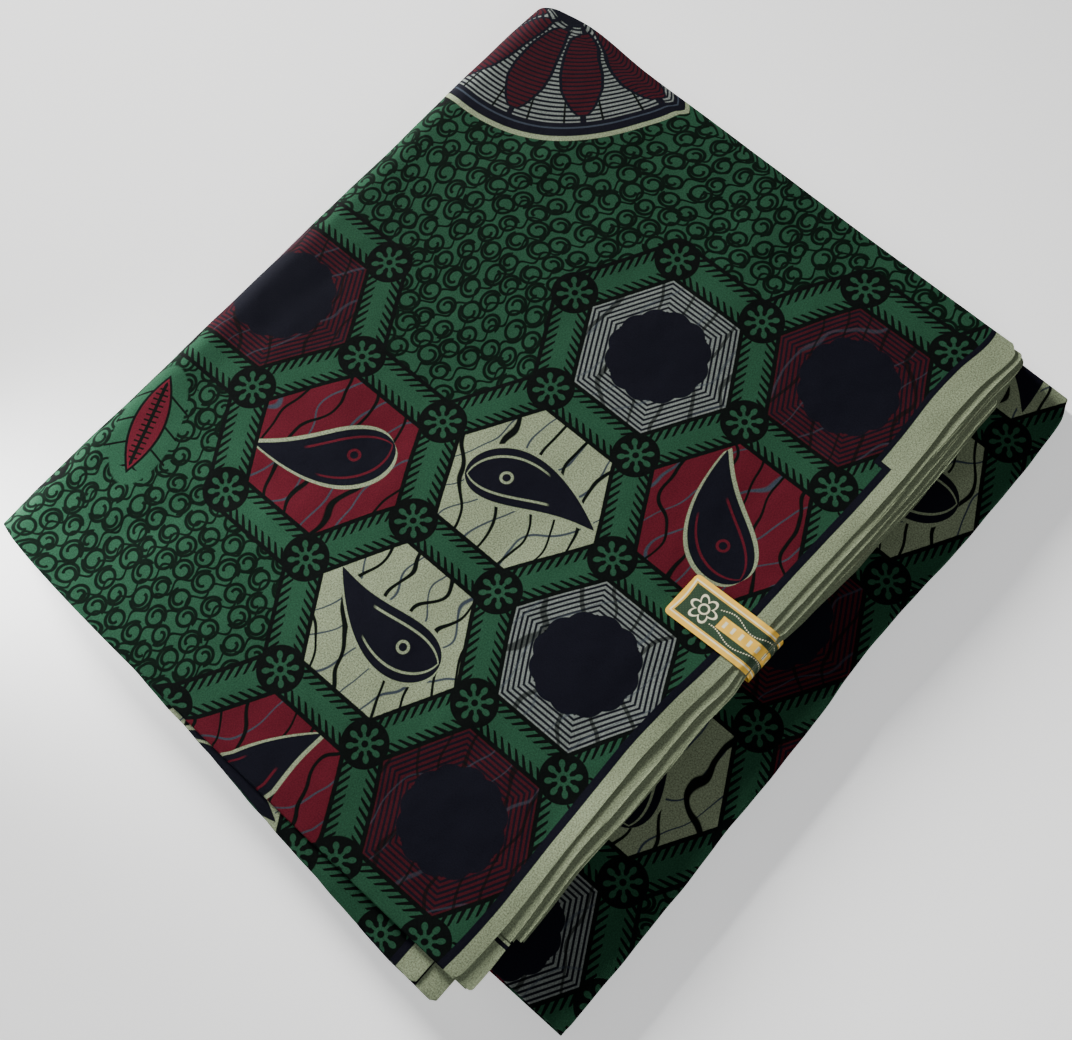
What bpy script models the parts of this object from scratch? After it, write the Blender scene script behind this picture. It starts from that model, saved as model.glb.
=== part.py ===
"""A folded length of wax print cotton that lies flat.

The cloth is folded selvedge to selvedge, then back and forth in its length, and once across.
X runs from the rounded fold across, the spine, to the selvedges. Y runs along the selvedges and
Z is up. The tables are in millimetres from the pack's own corner at the spine, and one empty
moves the whole pack so that its box is centred on the origin and its underside lies at Z = 0.
"""
import math
from collections import namedtuple

import bmesh
import bpy
from mathutils import Vector

MM = 0.001

# Driving sizes, in millimetres
BOX_CENTRE = (157.4, 162.1)
WALL = 1.0
GAP = 0.3
PITCH = WALL + GAP
SPINE_HEIGHT = 21.5
EDGE_HEIGHT = 20.0
MIDDLE_HEIGHT = 10.0
SPINE_DEPTH = 12.0
END_DROP = 1.3
END_DROP_LENGTH = 28.0
EDGE_DROOP = 0.004
DROOP_START = 268.0
PINCH_DEPTH = 1.2
PINCH_LENGTH = 20.0
LABEL_MIDDLE = 163.2
LABEL_WIDTH = 22.0
LABEL_THICKNESS = 0.5
LABEL_START = 239.5
LABEL_REACH = 286.0
LABEL_TUCK = 24.0
LABEL_CORNER = 2.0
LABEL_SLANT = 0.022
TUCK_START = 246.0
FAN_START = 60.0
FAN_TUCK_END = 8.0
LIP_DEPTH = 0.9
LIP_INSET = 1.0
LOWER_FALL = 2.6

SLOT_HALF = WALL / 2 + GAP
SLOT_NOSE = 1.6
FLOOR_INSET = 1.8
OUTER_INSET = 1.6
FOLD_RADIUS = WALL + GAP / 2
FOLD_RETURN = 16.0
LABEL_DEEP = 10.6
LABEL_FALL = 6.0
LABEL_TURN = 1.0

# Stations of the walls and of the hidden layers, as shares of a straight stretch or degrees
TOP_STATIONS = (1.0, 0.985, 0.965, 0.93, 0.88, 0.80, 0.65, 0.5, 0.34, 0.2, 0.1, 0.04)
CORE_TOP_STATIONS = (1.0, 0.97, 0.93, 0.88, 0.846, 0.81, 0.772, 0.735, 0.6, 0.45, 0.3, 0.19, 0.14, 0.05)
FAN_STATIONS = (0.0, 0.1, 0.22, 0.35, 0.48, 0.6, 0.69, 0.74, 0.79, 0.84, 0.89, 0.95, 1.0)
FLOOR_STATIONS = (0.06, 0.2, 0.4, 0.6, 0.8, 0.92, 0.96, 1.0)
INNER_STATIONS = (0.0, 0.3, 0.6, 0.78, 0.86, 0.90, 0.94, 0.97, 1.0)
TURNS = tuple(range(0, 181, 20))
FOLD_TURNS = (30, 60, 90, 120, 150, 180)
ROWS = (0.0, 0.02, 0.045, 0.08, 0.13, 0.2, 0.28, 0.36, 0.42, 0.455, 0.5, 0.545, 0.58, 0.64,
        0.72, 0.8, 0.87, 0.92, 0.955, 0.98, 1.0)

# Plan outline of the top panel and of the lower half: x, near end y, far end y
PlanRow = namedtuple("PlanRow", "x near far")
UPPER_PLAN = (
    PlanRow(x=-6, near=-0.6, far=346.6),
    PlanRow(x=4, near=-3.0, far=349.0),
    PlanRow(x=25, near=-5.8, far=351.6),
    PlanRow(x=60, near=-8.4, far=348.8),
    PlanRow(x=100, near=-10.2, far=347.8),
    PlanRow(x=180, near=-12.8, far=345.8),
    PlanRow(x=265, near=-15.0, far=344.4),
    PlanRow(x=290, near=-15.4, far=344.0),
)
LOWER_PLAN = (
    PlanRow(x=-6, near=-0.6, far=346.6),
    PlanRow(x=60, near=-1.0, far=346.2),
    PlanRow(x=180, near=-1.6, far=344.6),
    PlanRow(x=325, near=-2.0, far=342.8),
)

# Edges along the selvedges, each an x for its y: four plies, the spine and the outer fold
EdgeRow = namedtuple("EdgeRow", "y spine top second third fourth outer")
EDGES = (
    EdgeRow(y=-15, spine=-3.6, top=278.0, second=285.4, third=288.1, fourth=283.3, outer=321.6),
    EdgeRow(y=0, spine=-3.8, top=278.8, second=285.3, third=288.1, fourth=283.3, outer=321.5),
    EdgeRow(y=20, spine=-4.2, top=278.5, second=284.0, third=287.7, fourth=283.3, outer=320.6),
    EdgeRow(y=50, spine=-4.6, top=276.6, second=281.0, third=285.5, fourth=282.3, outer=319.4),
    EdgeRow(y=75, spine=-4.8, top=275.0, second=280.8, third=285.9, fourth=282.3, outer=318.6),
    EdgeRow(y=100, spine=-5.0, top=273.8, second=280.3, third=285.1, fourth=282.3, outer=317.2),
    EdgeRow(y=125, spine=-5.1, top=274.2, second=279.8, third=283.9, fourth=282.3, outer=316.2),
    EdgeRow(y=146, spine=-5.2, top=275.8, second=281.0, third=284.3, fourth=282.5, outer=315.2),
    EdgeRow(y=163, spine=-5.3, top=276.4, second=280.2, third=282.9, fourth=283.5, outer=314.2),
    EdgeRow(y=182, spine=-5.4, top=276.3, second=280.2, third=283.8, fourth=284.5, outer=312.6),
    EdgeRow(y=210, spine=-5.7, top=276.6, second=280.7, third=284.1, fourth=286.7, outer=311.2),
    EdgeRow(y=245, spine=-6.2, top=277.0, second=281.0, third=284.1, fourth=287.3, outer=311.5),
    EdgeRow(y=275, spine=-6.8, top=276.6, second=280.0, third=282.9, fourth=286.9, outer=311.6),
    EdgeRow(y=300, spine=-7.2, top=274.8, second=279.6, third=282.1, fourth=285.7, outer=311.0),
    EdgeRow(y=318, spine=-7.2, top=275.0, second=279.2, third=281.7, fourth=285.3, outer=310.2),
    EdgeRow(y=332, spine=-7.0, top=276.6, second=279.9, third=282.2, fourth=282.5, outer=308.8),
    EdgeRow(y=340, spine=-6.8, top=276.5, second=280.0, third=281.6, fourth=280.8, outer=307.0),
    EdgeRow(y=351, spine=-6.2, top=273.5, second=277.0, third=278.5, fourth=279.3, outer=304.0),
)

# Free edge of the fan layer at the near end
FanRow = namedtuple("FanRow", "x near")
FAN_EDGE = (
    FanRow(x=60, near=-6.5),
    FanRow(x=100, near=-11.0),
    FanRow(x=150, near=-16.2),
    FanRow(x=200, near=-21.4),
    FanRow(x=250, near=-26.2),
    FanRow(x=290, near=-27.4),
)

# Selvedge plies: ply below the top one, and where it begins and ends along Y
PlyRow = namedtuple("PlyRow", "name edge level start end")
PLIES = (
    PlyRow(name="selvedge_second", edge="second", level=1, start=10.0, end=342.4),
    PlyRow(name="selvedge_third", edge="third", level=2, start=12.6, end=341.4),
    PlyRow(name="selvedge_fourth", edge="fourth", level=3, start=24.0, end=318.4),
    PlyRow(name="corner_layer", edge="second", level=1, start=-14.2, end=9.4),
)

# Fan plies: ply below the top one, and the x where its own selvedge ends
FanPlyRow = namedtuple("FanPlyRow", "name level end")
FAN_PLIES = (
    FanPlyRow(name="fan_upper", level=1, end=266.2),
    FanPlyRow(name="fan_lower", level=2, end=277.0),
)

# How far each fold lip of the hidden layers stands back from the longest one
NEAR_LIPS = (0.6, 1.3, 0.0, 0.9, 0.4)
FAR_LIPS = (0.3, 1.1, 0.5, 1.5, 0.0)
OUTER_LIPS = (0.0, 1.2, 0.5, 1.4, 0.8)
SELVEDGE_LIPS = (0.4, 0.0, 1.1, 0.5, 1.4)

GREEN = (0.036, 0.176, 0.084)
DARK_GREEN = (0.022, 0.105, 0.052)
SAGE = (0.36, 0.40, 0.28)
GOLD = (0.62, 0.38, 0.12)


def clear_scene():
    """Remove every object that the file opens with."""
    for item in list(bpy.data.objects):
        bpy.data.objects.remove(item, do_unlink=True)


def ramp(low, high, value):
    """Smooth step from 0 at low to 1 at high."""
    share = min(max((value - low) / (high - low), 0.0), 1.0)
    return share * share * (3.0 - 2.0 * share)


def mix(first, second, share):
    """Value between first and second."""
    return first + (second - first) * share


def read_table(rows, key, column, place):
    """Value of a column at a place, on a curve that passes smoothly through the rows."""
    keys = [getattr(row, key) for row in rows]
    values = [getattr(row, column) for row in rows]
    place = min(max(place, keys[0]), keys[-1])
    last = len(rows) - 1
    left = max(n for n in range(last) if keys[n] <= place)
    slopes = []
    for n in (left, left + 1):
        before = max(n - 1, 0)
        after = min(n + 1, last)
        slopes.append((values[after] - values[before]) / (keys[after] - keys[before]))
    span = keys[left + 1] - keys[left]
    t = (place - keys[left]) / span
    start = (1 + 2 * t) * (1 - t) ** 2 * values[left] + t * (1 - t) ** 2 * span * slopes[0]
    end = t * t * (3 - 2 * t) * values[left + 1] + t * t * (t - 1) * span * slopes[1]
    return start + end


def edge_at(column, y):
    """X of a long edge of the pack at y."""
    return read_table(EDGES, "y", column, y)


def top_height(x, y):
    """Height of the pack's upper surface."""
    height = mix(SPINE_HEIGHT, EDGE_HEIGHT, ramp(60.0, 250.0, x))
    near = read_table(UPPER_PLAN, "x", "near", x)
    far = read_table(UPPER_PLAN, "x", "far", x)
    from_end = min(y - near, far - y)
    height -= END_DROP * (1.0 - ramp(-8.0, END_DROP_LENGTH, from_end))
    height -= EDGE_DROOP * max(x - DROOP_START, 0.0) ** 2
    pull = math.exp(-((y - LABEL_MIDDLE) / PINCH_LENGTH) ** 2)
    height -= PINCH_DEPTH * pull * ramp(225.0, 280.0, x)
    return height


def middle_height(x, y):
    """Height of the plane between the two halves, which falls away to the outer fold."""
    return MIDDLE_HEIGHT - LOWER_FALL * ramp(270.0, 325.0, x)


def place_grid(mesh, columns, rows, place):
    """Add a grid of columns by rows points to mesh, each moved to place(column, row)."""
    made = bmesh.ops.create_grid(mesh, x_segments=columns - 1, y_segments=rows - 1, size=0.5)
    for vert in made["verts"]:
        column = round((vert.co.x + 0.5) * (columns - 1))
        row = round((vert.co.y + 0.5) * (rows - 1))
        vert.co = Vector(place(column, row)) * MM


def plain_material(name, colour, roughness):
    """Principled material with the part's own colour."""
    material = bpy.data.materials.new(name)
    material.use_nodes = True
    shader = material.node_tree.nodes["Principled BSDF"]
    shader.inputs["Base Color"].default_value = (*colour, 1.0)
    shader.inputs["Roughness"].default_value = roughness
    shader.inputs["Metallic"].default_value = 0.0
    return material


def add_object(name, mesh, colour, roughness, pack):
    """Put a bmesh into the scene as a named part of the pack."""
    data = bpy.data.meshes.new(name)
    mesh.to_mesh(data)
    mesh.free()
    data.materials.append(plain_material(name, colour, roughness))
    item = bpy.data.objects.new(name, data)
    item.parent = pack["origin"]
    pack["collection"].objects.link(item)
    data.shade_smooth()
    data.set_sharp_from_angle(angle=math.radians(40))
    return item


def add_sheet(name, columns, rows, place, colour, pack, thickness=WALL, roughness=0.75):
    """Cloth wall: an open grid whose outer face is given, thickened inwards."""
    mesh = bmesh.new()
    place_grid(mesh, columns, rows, place)
    item = add_object(name, mesh, colour, roughness, pack)
    wall = item.modifiers.new("wall", "SOLIDIFY")
    wall.thickness = thickness * MM
    wall.offset = -1.0
    wall.use_even_offset = True
    return item


def shares(count):
    """Even steps from 0 to 1."""
    return [n / (count - 1) for n in range(count)]


def plan_end(column, x, under):
    """Near or far end of the pack at x, from the upper half's at under 0 to the lower's at 1."""
    upper = read_table(UPPER_PLAN, "x", column, x)
    lower = read_table(LOWER_PLAN, "x", column, x)
    return mix(upper, lower, under)


def settle(share, x_at, under, near_inset=0.0, far_inset=0.0):
    """X and y of the point at a share of the pack's length, where each depends on the other."""
    y = mix(0.0, 343.0, share)
    for _ in range(3):
        x = x_at(y)
        near = plan_end("near", x, under) + near_inset
        far = plan_end("far", x, under) - far_inset
        y = mix(near, far, share)
    return x_at(y), y


def spine_start(y):
    """X where the spine's half round begins."""
    return edge_at("spine", y) + SPINE_DEPTH


def floor_end(y):
    """X where the underside ends, just inside the outer fold."""
    return edge_at("outer", y) - FLOOR_INSET


def spine_point(turn, y, inset, hold):
    """Point of the spine's half round, at a turn in degrees from the top.

    hold is 1 at inset below the outside, and falls to 0 on the slot between the two halves.
    """
    half = top_height(spine_start(y), y) / 2.0
    angle = math.radians(90.0 + turn)
    deep = mix(SLOT_NOSE, SPINE_DEPTH - inset, hold)
    high = mix(SLOT_HALF, half - inset, hold)
    level = mix(MIDDLE_HEIGHT, half, hold)
    return (spine_start(y) + deep * math.cos(angle), y, level + high * math.sin(angle))


def build_outer_sheet(pack):
    """Top panel, spine and flat underside in one wall."""
    path = [("floor", share) for share in reversed(FLOOR_STATIONS)]
    path += [("spine", turn) for turn in reversed(TURNS)]
    path += [("top", share) for share in reversed(TOP_STATIONS)]
    rows = ROWS

    def place(column, row):
        kind, value = path[column]
        if kind == "top":
            x, y = settle(rows[row], lambda y: mix(spine_start(y), edge_at("top", y), value), 0.0)
            return (x, y, top_height(x, y))
        if kind == "floor":
            x, y = settle(rows[row], lambda y: mix(spine_start(y), floor_end(y), value), 1.0)
            return (x, y, 0.0)
        reach = SPINE_DEPTH * math.sin(math.radians(value))
        x, y = settle(rows[row], lambda y: spine_start(y) - reach, value / 180.0)
        return spine_point(value, y, 0.0, 1.0)

    return add_sheet("outer_sheet", len(path), len(rows), place, GREEN, pack)


def build_inner_sheet(pack):
    """Panel under the upper half, which turns down and back at the outer fold."""
    path = [("flat", share) for share in INNER_STATIONS]
    path += [("fold", turn) for turn in FOLD_TURNS]
    path += [("return", 0.5), ("return", 1.0)]
    rows = ROWS
    near = plan_end("near", 300.0, 1.0)
    far = plan_end("far", 300.0, 1.0)

    def place(column, row):
        kind, value = path[column]
        y = mix(near, far, rows[row])
        start = spine_start(y) - SLOT_NOSE + 2 * GAP
        bend = edge_at("outer", y) - FOLD_RADIUS
        if kind == "flat":
            x = mix(start, bend, value)
            return (x, y, middle_height(x, y) + WALL / 2)
        if kind == "fold":
            level = middle_height(bend, y) + WALL / 2 - FOLD_RADIUS
            angle = math.radians(90.0 - value)
            return (bend + FOLD_RADIUS * math.cos(angle), y, level + FOLD_RADIUS * math.sin(angle))
        x = bend - FOLD_RETURN * value
        return (x, y, middle_height(x, y) + WALL / 2 - 2 * FOLD_RADIUS)

    return add_sheet("inner_sheet", len(path), len(rows), place, DARK_GREEN, pack)


def side_share(x):
    """0 over most of the pack, and 1 where the selvedge plies lie below the top panel."""
    return ramp(TUCK_START - 34.0, TUCK_START - 4.0, x)


def ply_depth(x, y):
    """How many plies lie between the top panel and the hidden layers at a place."""
    at_end = ramp(FAN_TUCK_END + 26.0, FAN_TUCK_END + 12.0, y)
    at_end *= ramp(FAN_START - 14.0, FAN_START - 3.0, x)
    return mix(3.0 * side_share(x), 2.0 + side_share(x), at_end)


def label_room(x, y):
    """Share of the label's thickness that the upper half gives up below for its tuck."""
    across = ramp(LABEL_REACH - LABEL_TUCK - 24.0, LABEL_REACH - LABEL_TUCK - 12.0, x)
    return across * ramp(LABEL_WIDTH / 2 + 18.0, LABEL_WIDTH / 2 + 7.0, abs(y - LABEL_MIDDLE))


def lip_steps(insets):
    """Steps across a layered edge: each lip is a groove and two points of its crest."""
    steps = []
    count = len(insets)
    for n, inset in enumerate(insets):
        neighbour = max(inset, insets[max(n - 1, 0)])
        steps.append((n / count, neighbour + LIP_DEPTH))
        steps.append(((n + 0.25) / count, inset))
        steps.append(((n + 0.75) / count, inset))
    steps.append((1.0, insets[-1] + LIP_DEPTH))
    return steps


def build_core(pack):
    """Hidden layers: one solid that turns round the spine, with fold lips at its edges."""
    path = [("top", share) for share in CORE_TOP_STATIONS]
    path += [("spine", turn) for turn in TURNS]
    path += [("floor", share) for share in FLOOR_STATIONS]
    rows = ROWS
    near_lips = lip_steps(NEAR_LIPS)
    far_lips = lip_steps(FAR_LIPS)
    outer_lips = lip_steps(OUTER_LIPS)
    selvedge_lips = lip_steps(SELVEDGE_LIPS)

    def place(station, layer, row):
        kind, value = path[station]
        inward = near_lips[layer][0]
        near = LIP_INSET + near_lips[layer][1]
        far = LIP_INSET + far_lips[layer][1]
        share = rows[row]
        if kind == "spine":
            deep = mix(SPINE_DEPTH - PITCH, SLOT_NOSE, inward)
            reach = deep * math.sin(math.radians(value))
            _, y = settle(share, lambda y: spine_start(y) - reach, value / 180.0, near, far)
            return spine_point(value, y, PITCH, 1.0 - inward)
        if kind == "top":
            inset = LIP_INSET + selvedge_lips[layer][1]
            x, y = settle(share, lambda y: mix(spine_start(y), edge_at("fourth", y) - inset, value),
                          0.0, near, far)
            outside = top_height(x, y) - PITCH * (1.0 + ply_depth(x, y))
            inside = middle_height(x, y) + SLOT_HALF + label_room(x, y) * (LABEL_THICKNESS + GAP)
            return (x, y, mix(outside, inside, inward))
        inset = OUTER_INSET + outer_lips[layer][1]
        x, y = settle(share, lambda y: mix(spine_start(y), edge_at("outer", y) - inset, value),
                      1.0, near, far)
        fold_start = edge_at("outer", y) - FOLD_RADIUS - FOLD_RETURN
        room = PITCH * ramp(fold_start - 9.0, fold_start - 2.0, x)
        inside = middle_height(x, y) - SLOT_HALF - room
        return (x, y, mix(PITCH, inside, inward))

    mesh = bmesh.new()
    stations = len(path)
    layers = len(near_lips)
    last = len(rows) - 1
    place_grid(mesh, stations, len(rows), lambda i, j: place(i, 0, j))
    place_grid(mesh, stations, len(rows), lambda i, j: place(i, layers - 1, j))
    place_grid(mesh, stations, layers, lambda i, j: place(i, j, 0))
    place_grid(mesh, stations, layers, lambda i, j: place(i, j, last))
    place_grid(mesh, layers, len(rows), lambda i, j: place(0, i, j))
    place_grid(mesh, layers, len(rows), lambda i, j: place(stations - 1, i, j))
    bmesh.ops.remove_doubles(mesh, verts=mesh.verts, dist=0.00001)
    bmesh.ops.recalc_face_normals(mesh, faces=mesh.faces)
    return add_object("core", mesh, DARK_GREEN, 0.8, pack)


def build_selvedge_ply(ply, pack):
    """Stretch of one layer that shows beyond the layer above it along the selvedges."""
    columns = shares(7)
    rows = shares(max(3, round((ply.end - ply.start) / 15.0)))

    def place(column, row):
        y = mix(ply.start, ply.end, rows[row])
        x = mix(TUCK_START, edge_at(ply.edge, y), columns[column])
        return (x, y, top_height(x, y) - PITCH * ply.level)

    return add_sheet(ply.name, len(columns), len(rows), place, SAGE, pack)


def build_fan_ply(ply, pack):
    """Stretch of a fold layer that fans out below the top panel at the near end."""
    rows = shares(5)

    def place(column, row):
        x = mix(FAN_START, ply.end, FAN_STATIONS[column])
        y = mix(read_table(FAN_EDGE, "x", "near", x), FAN_TUCK_END, rows[row])
        return (x, y, top_height(x, y) - PITCH * (ply.level + side_share(x)))

    return add_sheet(ply.name, len(FAN_STATIONS), len(rows), place, GREEN, pack)


def build_label(pack):
    """Paper label that lies on the top panel, turns down over the plies and tucks under them."""
    path = [("flat", share) for share in (0.0, 0.02, 0.055, 0.2, 0.45, 0.7, 0.9, 1.0)]
    path += [("round", turn) for turn in (15, 30, 45, 60, 75, 90)]
    path += [("down", 1.0)]
    path += [("turn", turn) for turn in (30, 60, 90)]
    path += [("tuck", share) for share in (0.35, 0.7, 1.0)]
    rows = shares(7)
    bend = LABEL_REACH - LABEL_DEEP

    def place(column, row):
        kind, value = path[column]
        half = LABEL_WIDTH / 2
        if kind == "flat":
            from_end = value * (bend - LABEL_START)
            cut = max(LABEL_CORNER - from_end, 0.0)
            half -= LABEL_CORNER - math.sqrt(LABEL_CORNER ** 2 - cut ** 2)
        across = mix(-half, half, rows[row])
        y = LABEL_MIDDLE + across
        above = top_height(bend, y) + GAP + LABEL_THICKNESS
        floor = middle_height(LABEL_REACH, y) + WALL / 2 + GAP
        if kind == "flat":
            x = mix(LABEL_START, bend, value)
            z = top_height(x, y) + GAP + LABEL_THICKNESS
        elif kind == "round":
            x = bend + LABEL_DEEP * math.sin(math.radians(value))
            z = above - LABEL_FALL * (1.0 - math.cos(math.radians(value)))
        elif kind == "down":
            x = LABEL_REACH
            z = floor + LABEL_TURN
        elif kind == "turn":
            x = LABEL_REACH - LABEL_TURN * (1.0 - math.cos(math.radians(value)))
            z = floor + LABEL_TURN * (1.0 - math.sin(math.radians(value)))
        else:
            x = LABEL_REACH - LABEL_TURN - LABEL_TUCK * value
            z = middle_height(x, y) + WALL / 2 + GAP
        slant = LABEL_SLANT * (x - LABEL_START)
        return (x, y + slant, z)

    return add_sheet("label", len(path), len(rows), place, GOLD, pack, LABEL_THICKNESS, 0.45)


def main():
    """Build the pack, one named object for each stretch of cloth."""
    clear_scene()
    collection = bpy.data.collections.new("wax_print_fabric")
    bpy.context.scene.collection.children.link(collection)
    origin = bpy.data.objects.new("pack_origin", None)
    origin.location = (-BOX_CENTRE[0] * MM, -BOX_CENTRE[1] * MM, 0.0)
    collection.objects.link(origin)
    pack = {"collection": collection, "origin": origin}
    build_outer_sheet(pack)
    build_inner_sheet(pack)
    build_core(pack)
    for ply in PLIES:
        build_selvedge_ply(ply, pack)
    for ply in FAN_PLIES:
        build_fan_ply(ply, pack)
    build_label(pack)


main()
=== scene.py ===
"""Looks of a folded length of wax print cotton: thin cloth shells, fold edges, print and label."""
import math
from collections import namedtuple

import bpy
import numpy as np
from mathutils import Matrix, Vector


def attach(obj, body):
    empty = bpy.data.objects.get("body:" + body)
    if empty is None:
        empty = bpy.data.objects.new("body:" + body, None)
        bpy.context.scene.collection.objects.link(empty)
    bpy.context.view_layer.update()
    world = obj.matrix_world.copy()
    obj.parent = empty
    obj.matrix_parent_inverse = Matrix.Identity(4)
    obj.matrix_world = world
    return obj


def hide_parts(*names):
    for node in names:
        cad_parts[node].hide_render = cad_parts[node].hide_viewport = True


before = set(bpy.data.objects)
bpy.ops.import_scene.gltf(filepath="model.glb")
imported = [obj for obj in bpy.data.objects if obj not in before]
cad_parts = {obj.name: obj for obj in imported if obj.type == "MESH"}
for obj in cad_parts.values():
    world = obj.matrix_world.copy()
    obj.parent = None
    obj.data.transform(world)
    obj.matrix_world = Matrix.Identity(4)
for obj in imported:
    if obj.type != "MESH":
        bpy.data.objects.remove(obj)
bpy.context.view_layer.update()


def table(columns, *rows):
    """Table with named columns."""
    kind = namedtuple("Row", columns)
    return tuple(kind(*row) for row in rows)


MM = 0.001

# Frame's origin on the pack, and the forms of its solids, in millimetres
ORIGIN = (157.4, 162.1, 0.0)
PITCH = 1.3
SPINE_HEIGHT = 21.5
EDGE_HEIGHT = 20.0
MIDDLE_HEIGHT = 10.0
SPINE_DEPTH = 12.0
END_DROP = 1.3
EDGE_DROOP = 0.004
DROOP_START = 268.0
PINCH_DEPTH = 1.2
PINCH_LENGTH = 20.0
LOWER_FALL = 2.6
SLOT_NOSE = 1.6
TUCK_START = 246.0
FAN_START = 60.0
FAN_TUCK_END = 8.0
FLOOR_INSET = 1.8
OUTER_X = 300.0
FIRST_LENGTH = 343.0
SHEET = 0.45
TOP_SHEET = 0.30
LABEL_MIDDLE = 163.2
LABEL_WIDTH = 22.0
LABEL_START = 239.5
LABEL_REACH = 284.0
LABEL_TUCK = 24.0
LABEL_CORNER = 2.0
LABEL_SLANT = 0.036
LABEL_DEEP = 6.0
LABEL_FALL = 6.0

# Stretches of x or y over which a form sets in, from its start to its full size
SLOPE = (60.0, 250.0)
END_RISE = (-8.0, 28.0)
STRIP_RISE = (265.0, 278.0)
PINCH_RISE = (225.0, 280.0)
LOWER_SLOPE = (270.0, 325.0)
LOWER_SHOWN = (262.0, 292.0)
SIDE_TUCK = (TUCK_START - 34.0, TUCK_START - 4.0)
FAN_SIDE = (FAN_START - 14.0, FAN_START - 3.0)
FAN_END = (FAN_TUCK_END + 26.0, FAN_TUCK_END + 12.0)

# Plan outline of the top panel and of the lower half: x, near end y, far end y
UPPER_PLAN = table(
    "x near far",
    (-6, -0.6, 346.6),
    (4, -3.0, 349.0),
    (25, -5.8, 351.6),
    (60, -8.4, 348.8),
    (100, -10.2, 347.8),
    (180, -12.8, 345.8),
    (265, -15.0, 344.4),
    (290, -15.4, 344.0),
)
LOWER_PLAN = table(
    "x near far",
    (-6, -0.6, 346.6),
    (60, -1.0, 346.2),
    (180, -1.6, 344.6),
    (325, -2.0, 342.8),
)

# Edges along the selvedges, each an x for its y: four plies, the spine and the outer fold
EDGES = table(
    "y spine top second third fourth outer",
    (-15, -3.6, 278.0, 285.4, 288.1, 283.3, 321.6),
    (0, -3.8, 278.8, 285.3, 288.1, 283.3, 321.5),
    (20, -4.2, 278.5, 284.0, 287.7, 283.3, 320.6),
    (50, -4.6, 276.6, 281.0, 285.5, 282.3, 319.4),
    (75, -4.8, 275.0, 280.8, 285.9, 282.3, 318.6),
    (100, -5.0, 273.8, 280.3, 285.1, 282.3, 317.2),
    (125, -5.1, 274.2, 279.8, 283.9, 282.3, 316.2),
    (146, -5.2, 275.8, 281.0, 284.3, 282.5, 315.2),
    (163, -5.3, 276.4, 280.2, 282.9, 283.5, 314.2),
    (182, -5.4, 276.3, 280.2, 283.8, 284.5, 312.6),
    (210, -5.7, 276.6, 280.7, 284.1, 286.7, 311.2),
    (245, -6.2, 277.0, 281.0, 284.1, 287.3, 311.5),
    (275, -6.8, 276.6, 280.0, 282.9, 286.9, 311.6),
    (300, -7.2, 274.8, 279.6, 282.1, 285.7, 311.0),
    (318, -7.2, 275.0, 279.2, 281.7, 285.3, 310.2),
    (332, -7.0, 276.6, 279.9, 282.2, 282.5, 308.8),
    (340, -6.8, 276.5, 280.0, 281.6, 280.8, 307.0),
    (351, -6.2, 273.5, 277.0, 278.5, 279.3, 304.0),
)

# Free edge of the fan layer at the near end
FAN_EDGE = table(
    "x near",
    (60, -6.5),
    (100, -11.0),
    (150, -16.2),
    (200, -21.4),
    (250, -26.2),
    (290, -27.4),
)

# Rise of the upper surface across the selvedge strip, at places along it
STRIP = table(
    "y rise",
    (-15, -0.15),
    (25, 0.30),
    (60, 1.0),
    (92, 0.0),
    (120, -0.95),
    (150, -0.25),
    (200, 0.0),
    (250, 0.28),
    (300, -0.10),
    (345, 0.10),
)

# Soft troughs and ridges: middle, direction in degrees, half length and width
TOP_CREASES = table(
    "x y turn length width depth",
    (60, 60, 62, 70, 9, -0.45),
    (20, 150, 84, 60, 7, -0.35),
    (110, 200, 75, 90, 14, -0.40),
    (175, 110, 96, 80, 12, -0.35),
    (215, 40, 70, 45, 8, -0.35),
    (235, 230, 88, 60, 9, -0.30),
    (160, 290, 110, 55, 11, 0.35),
    (60, 290, 66, 60, 12, 0.40),
    (140, 20, 25, 50, 9, 0.35),
    (252, 110, 86, 38, 6, -0.30),
    (90, 120, 150, 40, 8, 0.30),
    (30, 20, 40, 28, 7, -0.40),
    (245, 170, 4, 30, 12, -0.25),
)
LOWER_CREASES = table(
    "x y turn length width depth",
    (300, 300, 70, 40, 6, 0.5),
    (303, 200, 95, 60, 7, -0.4),
    (305, 110, 84, 50, 7, 0.4),
    (306, 30, 100, 40, 6, -0.35),
    (298, 250, 20, 22, 6, -0.3),
)
CREASE_BOW = 0.12


def ramp(low, high, value):
    """Smooth step from 0 at low to 1 at high."""
    share = np.clip((value - low) / (high - low), 0.0, 1.0)
    return share * share * (3.0 - 2.0 * share)


def mix(first, second, share):
    """Value between first and second."""
    return first + (second - first) * share


def read_table(rows, key, column, place):
    """Values of a column at places, on a curve that passes smoothly through the rows."""
    keys = np.array([getattr(row, key) for row in rows], float)
    values = np.array([getattr(row, column) for row in rows], float)
    slopes = np.empty(len(rows))
    slopes[1:-1] = (values[2:] - values[:-2]) / (keys[2:] - keys[:-2])
    slopes[0] = (values[1] - values[0]) / (keys[1] - keys[0])
    slopes[-1] = (values[-1] - values[-2]) / (keys[-1] - keys[-2])
    place = np.clip(place, keys[0], keys[-1])
    left = np.clip(np.searchsorted(keys, place, side="right") - 1, 0, len(rows) - 2)
    span = keys[left + 1] - keys[left]
    t = (place - keys[left]) / span
    start = (1 + 2 * t) * (1 - t) ** 2 * values[left] + t * (1 - t) ** 2 * span * slopes[left]
    end = t * t * (3 - 2 * t) * values[left + 1] + t * t * (t - 1) * span * slopes[left + 1]
    return start + end


def edge_at(column, y):
    """X of a long edge of the pack at y."""
    return read_table(EDGES, "y", column, y)


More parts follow.
